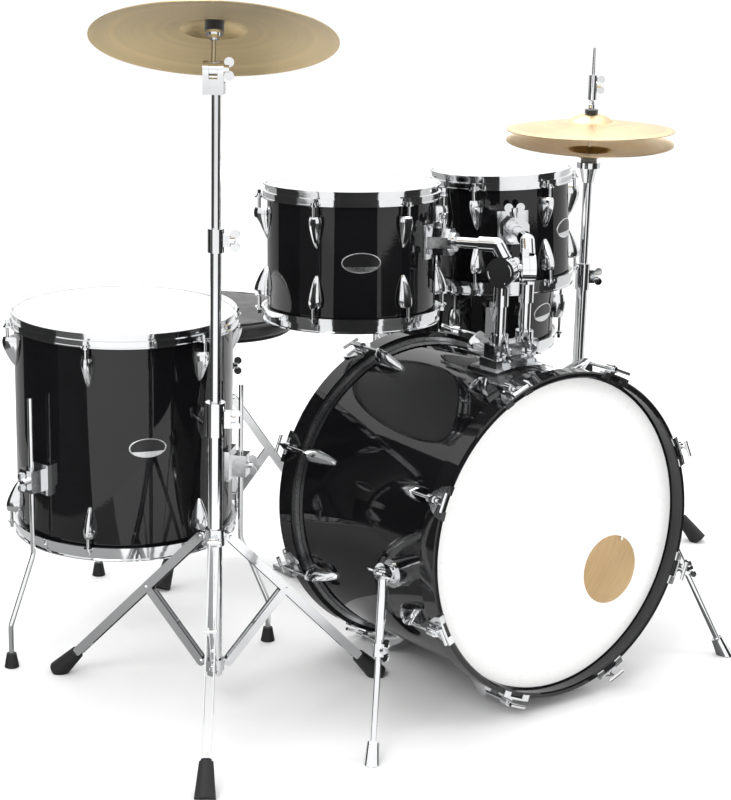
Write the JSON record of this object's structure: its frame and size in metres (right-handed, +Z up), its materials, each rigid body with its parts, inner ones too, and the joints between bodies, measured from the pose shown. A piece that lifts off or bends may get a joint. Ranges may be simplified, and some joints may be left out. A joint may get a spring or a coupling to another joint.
{
  "type": "acoustic drum kit",
  "caption": "Acoustic drum kit with bass drum, mounted and floor toms, snare, cymbals on stands, pedals and throne; mounts, stands and pedals move.",
  "frame": {"origin": "on the floor, at the middle of the kit's footprint", "axes": "+Z up; +X to the right as the audience sees the kit; -Y towards the audience, +Y towards the drummer"},
  "size_m": [1.5998, 1.3042, 1.258],
  "materials": {
    "shell_black": "high gloss black wrap on a wood shell",
    "hoop_black": "gloss black lacquer",
    "chrome": "polished chrome plate",
    "head_white": "coated polyester film",
    "bronze": "lathed bronze",
    "seat_black": "grained upholstery",
    "steel": "plated steel"
  },
  "bodies": {
    "kit": {"bass_batter_head": "head_white", "bass_claws": "chrome", "bass_front_head": "head_white", "bass_hoops": "hoop_black", "bass_lugs": "chrome", "bass_shell": "shell_black", "bass_tension_rods": "chrome", "crash_base_tube": "chrome", "floor_tom_heads": "head_white", "floor_tom_hoops": "chrome", "floor_tom_leg_brackets": "chrome", "floor_tom_legs": "chrome", "floor_tom_lugs": "chrome", "floor_tom_shell": "shell_black", "hihat_bottom_cymbal": "bronze", "hihat_stand_base": "chrome", "pedal_frame": "steel", "snare_heads": "head_white", "snare_hoops": "chrome", "snare_lugs": "chrome", "snare_shell": "shell_black", "snare_stand": "chrome", "snare_strainer": "steel", "spur_brackets": "chrome", "throne_base": "chrome", "tom_mount_bracket": "chrome"},
    "spur_left": {"spur_left_leg": "chrome"},
    "spur_right": {"spur_right_leg": "chrome"},
    "crash_middle": {"crash_middle_tube": "chrome"},
    "crash_upper": {"crash_upper_tube": "chrome"},
    "crash_tilter": {"crash_tilter": "chrome"},
    "crash_cymbal": {"crash_cymbal": "bronze"},
    "crash_collar": {"crash_leg_collar": "chrome"},
    "hihat_top": {"hihat_top_cymbal": "bronze", "hihat_pull_rod": "chrome"},
    "hihat_footboard": {"hihat_footboard": "steel"},
    "pedal_footboard": {"pedal_footboard": "steel"},
    "pedal_beater": {"pedal_beater": "chrome"},
    "throne_top": {"throne_seat": "seat_black", "throne_seat_mount": "chrome"},
    "tom_left_post": {"tom_left_post": "chrome"},
    "tom_left_arm": {"tom_left_arm": "chrome"},
    "tom_left_drum": {"tom_left_shell": "shell_black", "tom_left_hoops": "chrome", "tom_left_heads": "head_white", "tom_left_lugs": "chrome", "tom_left_bracket": "chrome"},
    "tom_right_post": {"tom_right_post": "chrome"},
    "tom_right_arm": {"tom_right_arm": "chrome"},
    "tom_right_drum": {"tom_right_shell": "shell_black", "tom_right_hoops": "chrome", "tom_right_heads": "head_white", "tom_right_lugs": "chrome", "tom_right_bracket": "chrome"},
    "crash_leg_front": {"crash_leg_front": "chrome"},
    "crash_brace_front": {"crash_brace_front": "chrome"},
    "crash_leg_left": {"crash_leg_left": "chrome"},
    "crash_brace_left": {"crash_brace_left": "chrome"},
    "crash_leg_right": {"crash_leg_right": "chrome"},
    "crash_brace_right": {"crash_brace_right": "chrome"}
  },
  "joints": [
    {"name": "spur_left_fold", "type": "hinge", "parent": "kit", "child": "spur_left", "pos_m": [-0.37587, -0.51979, 0.28703], "axis": [-0.9466, 0, 0.3225], "range_deg": [0, 69.6]},
    {"name": "spur_right_fold", "type": "hinge", "parent": "kit", "child": "spur_right", "pos_m": [0.26813, -0.51979, 0.28703], "axis": [-0.9466, 0, -0.3225], "range_deg": [0, 69.6]},
    {"name": "tom_left_swing", "type": "hinge", "parent": "kit", "child": "tom_left_post", "pos_m": [-0.07087, -0.44179, 0.76298], "axis": [0, 0, 1], "range_deg": [0, 30]},
    {"name": "tom_right_swing", "type": "hinge", "parent": "kit", "child": "tom_right_post", "pos_m": [-0.01287, -0.44179, 0.76298], "axis": [0, 0, 1], "range_deg": [-30, 0]},
    {"name": "tom_left_tilt", "type": "hinge", "parent": "tom_left_post", "child": "tom_left_arm", "pos_m": [-0.07087, -0.44179, 0.76298], "axis": [0.8643, 0.503, 0], "range_deg": [-6, 15]},
    {"name": "tom_left_roll", "type": "hinge", "parent": "tom_left_arm", "child": "tom_left_drum", "pos_m": [-0.07087, -0.44179, 0.80998], "axis": [-0.5045, 0.8625, -0.0402], "range_deg": [-15, 15]},
    {"name": "tom_right_tilt", "type": "hinge", "parent": "tom_right_post", "child": "tom_right_arm", "pos_m": [-0.01287, -0.44179, 0.76298], "axis": [0.8599, -0.5105, 0], "range_deg": [0, 15]},
    {"name": "tom_right_roll", "type": "hinge", "parent": "tom_right_arm", "child": "tom_right_drum", "pos_m": [-0.01287, -0.44179, 0.80998], "axis": [0.5119, 0.8579, -0.045], "range_deg": [-5, 10]},
    {"name": "crash_height_lower", "type": "slide", "parent": "kit", "child": "crash_middle", "axis": [0, 0, 1], "range_m": [-0.15, 0.08]},
    {"name": "crash_height_upper", "type": "slide", "parent": "crash_middle", "child": "crash_upper", "axis": [0, 0, 1], "range_m": [-0.2, 0.08]},
    {"name": "crash_tilt", "type": "hinge", "parent": "crash_upper", "child": "crash_tilter", "pos_m": [-0.59313, -0.31624, 1.13336], "axis": [-0.8124, 0.5831, 0], "range_deg": [-60, 35]},
    {"name": "crash_spin", "type": "hinge", "parent": "crash_tilter", "child": "crash_cymbal", "pos_m": [-0.58242, -0.30131, 1.17553], "axis": [0.2329, 0.3245, 0.9168], "continuous": true},
    {"name": "crash_collar_slide", "type": "slide", "parent": "kit", "child": "crash_collar", "axis": [0, 0, 1], "range_m": [0, 0.08984]},
    {"name": "crash_leg_front_fold", "type": "hinge", "parent": "crash_collar", "child": "crash_leg_front", "pos_m": [-0.59793, -0.33073, 0.326], "axis": [0.8184, -0.5747, 0], "range_deg": [0, 38.01]},
    {"name": "crash_brace_front_fold", "type": "hinge", "parent": "crash_leg_front", "child": "crash_brace_front", "pos_m": [-0.66302, -0.42341, 0.209], "axis": [0.8184, -0.5747, 0], "range_deg": [-76.02, 0]},
    {"name": "crash_leg_left_fold", "type": "hinge", "parent": "crash_collar", "child": "crash_leg_left", "pos_m": [-0.59391, -0.28553, 0.326], "axis": [-0.9069, -0.4214, 0], "range_deg": [0, 38.01]},
    {"name": "crash_brace_left_fold", "type": "hinge", "parent": "crash_leg_left", "child": "crash_brace_left", "pos_m": [-0.64163, -0.18283, 0.209], "axis": [-0.9069, -0.4214, 0], "range_deg": [-76.02, 0]},
    {"name": "crash_leg_right_fold", "type": "hinge", "parent": "crash_collar", "child": "crash_leg_right", "pos_m": [-0.55678, -0.31161, 0.326], "axis": [0.0885, 0.9961, 0], "range_deg": [0, 38.01]},
    {"name": "crash_brace_right_fold", "type": "hinge", "parent": "crash_leg_right", "child": "crash_brace_right", "pos_m": [-0.44397, -0.32164, 0.209], "axis": [0.0885, 0.9961, 0], "range_deg": [-76.02, 0]},
    {"name": "hihat_foot", "type": "hinge", "parent": "kit", "child": "hihat_footboard", "pos_m": [0.43582, 0.30972, 0.018], "axis": [0.7955, 0.606, 0], "range_deg": [0, 2.81]},
    {"name": "hihat_slide", "type": "slide", "parent": "kit", "child": "hihat_top", "axis": [0, 0, 1], "range_m": [-0.0141, 0], "stiffness_N_per_m": 1500, "springref_m": 0.03},
    {"name": "pedal_foot", "type": "hinge", "parent": "kit", "child": "pedal_footboard", "pos_m": [-0.05387, 0.16959, 0.018], "axis": [1, 0, 0], "range_deg": [0, 4]},
    {"name": "pedal_beater_swing", "type": "hinge", "parent": "kit", "child": "pedal_beater", "pos_m": [-0.05387, -0.09841, 0.172], "axis": [1, 0, 0], "range_deg": [0, 20.85], "stiffness_Nm_per_rad": 2, "springref_deg": -45.84},
    {"name": "throne_spin", "type": "hinge", "parent": "kit", "child": "throne_top", "pos_m": [-0.12987, 0.37821, 0.484], "axis": [0, 0, 1], "continuous": true}
  ],
  "couplings": [
    {"joint": "crash_leg_front_fold", "follows": "crash_collar_slide", "rad_per_m": 7.3821},
    {"joint": "crash_brace_front_fold", "follows": "crash_collar_slide", "rad_per_m": -14.764},
    {"joint": "crash_leg_left_fold", "follows": "crash_collar_slide", "rad_per_m": 7.3821},
    {"joint": "crash_brace_left_fold", "follows": "crash_collar_slide", "rad_per_m": -14.764},
    {"joint": "crash_leg_right_fold", "follows": "crash_collar_slide", "rad_per_m": 7.3821},
    {"joint": "crash_brace_right_fold", "follows": "crash_collar_slide", "rad_per_m": -14.764},
    {"joint": "hihat_slide", "follows": "hihat_foot", "m_per_rad": -0.285},
    {"joint": "pedal_beater_swing", "follows": "pedal_foot", "ratio": 5.2}
  ]
}
